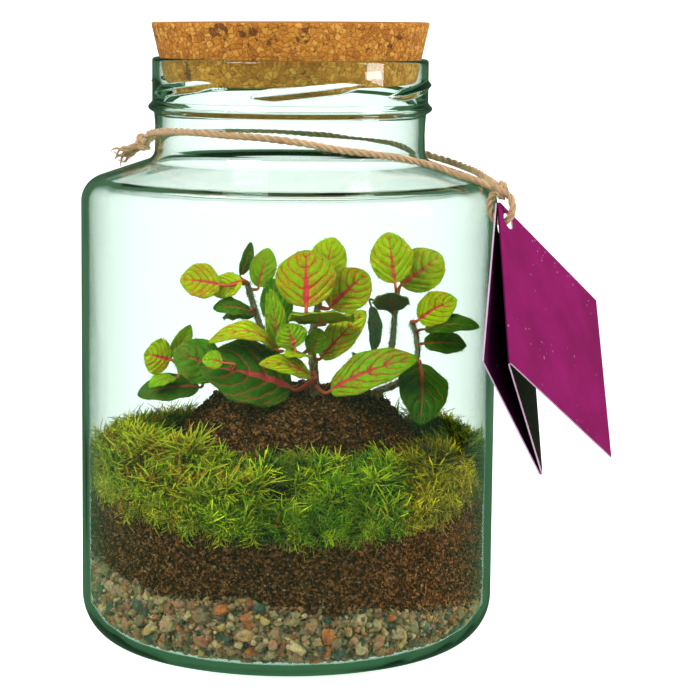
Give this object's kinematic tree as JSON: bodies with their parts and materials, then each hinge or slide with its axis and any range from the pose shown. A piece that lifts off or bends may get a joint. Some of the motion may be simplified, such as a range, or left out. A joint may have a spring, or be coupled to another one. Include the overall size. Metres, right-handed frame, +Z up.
{
  "type": "glass plant terrarium",
  "caption": "Wide-necked clear glass jar with a tapered cork, planted with a red-veined nerve plant in moss, soil and gravel, with a folded card tag on twine round its neck.",
  "frame": {"origin": "on the jar's axis, on the surface that the jar stands on", "axes": "+Z up along the jar's axis, -Y towards the viewer, +X to the side that the tag hangs on"},
  "size_m": [0.2101, 0.1741, 0.25],
  "materials": {
    "clear_green_glass": "smooth clear moulded glass with a green tint in its thick places",
    "cork": "pressed cork granules with dark specks, matt",
    "gravel": "washed mixed gravel, beige, pink, orange and grey-green",
    "potting_soil": "moist dark brown crumbs",
    "green_moss": "springy upright shoots",
    "gold_moss": "springy yellow-gold shoots",
    "stem_bark": "thin brown stem with fine hairs",
    "young_leaf": "lime blade with a net of red veins, satin",
    "older_leaf": "dark green blade with a red midrib, satin",
    "jute_twine": "three-ply jute with loose fibres",
    "printed_card": "coated card, magenta outside and near-black inside"
  },
  "bodies": {
    "root": {"glass_jar": "clear_green_glass", "cork_stopper": "cork", "gravel_bed": "gravel", "soil_bed": "potting_soil", "root_ball": "potting_soil", "moss_front_left": "green_moss", "moss_front": "green_moss", "moss_front_right": "green_moss", "moss_gold_tuft": "gold_moss", "moss_back_right": "green_moss", "moss_back": "green_moss", "moss_back_left": "green_moss", "stem_main": "stem_bark", "stem_left": "stem_bark", "stem_left_low": "stem_bark", "stem_right": "stem_bark", "stem_right_low": "stem_bark", "leaf_left_1": "young_leaf", "leaf_left_2": "young_leaf", "leaf_left_3": "young_leaf", "leaf_left_4": "young_leaf", "leaf_left_5": "older_leaf", "leaf_left_6": "older_leaf", "leaf_left_7": "young_leaf", "leaf_left_8": "young_leaf", "leaf_left_9": "young_leaf", "leaf_left_10": "young_leaf", "leaf_left_11": "young_leaf", "leaf_left_12": "older_leaf", "leaf_mid_1": "young_leaf", "leaf_mid_2": "young_leaf", "leaf_mid_3": "young_leaf", "leaf_mid_4": "young_leaf", "leaf_mid_5": "young_leaf", "leaf_mid_6": "young_leaf", "leaf_mid_7": "older_leaf", "leaf_mid_8": "young_leaf", "leaf_mid_9": "young_leaf", "leaf_mid_10": "young_leaf", "leaf_mid_11": "young_leaf", "leaf_mid_12": "young_leaf", "leaf_mid_13": "older_leaf", "leaf_mid_14": "young_leaf", "leaf_right_1": "young_leaf", "leaf_right_2": "young_leaf", "leaf_right_3": "older_leaf", "leaf_right_4": "young_leaf", "leaf_right_5": "older_leaf", "leaf_right_6": "older_leaf", "leaf_right_7": "older_leaf", "leaf_right_8": "older_leaf", "leaf_back_1": "young_leaf", "leaf_back_2": "older_leaf", "leaf_back_3": "older_leaf", "twine_front": "jute_twine", "twine_back": "jute_twine", "twine_neck_knot": "jute_twine", "twine_tag_hitch": "jute_twine", "folded_tag": "printed_card"}
  },
  "joints": []
}
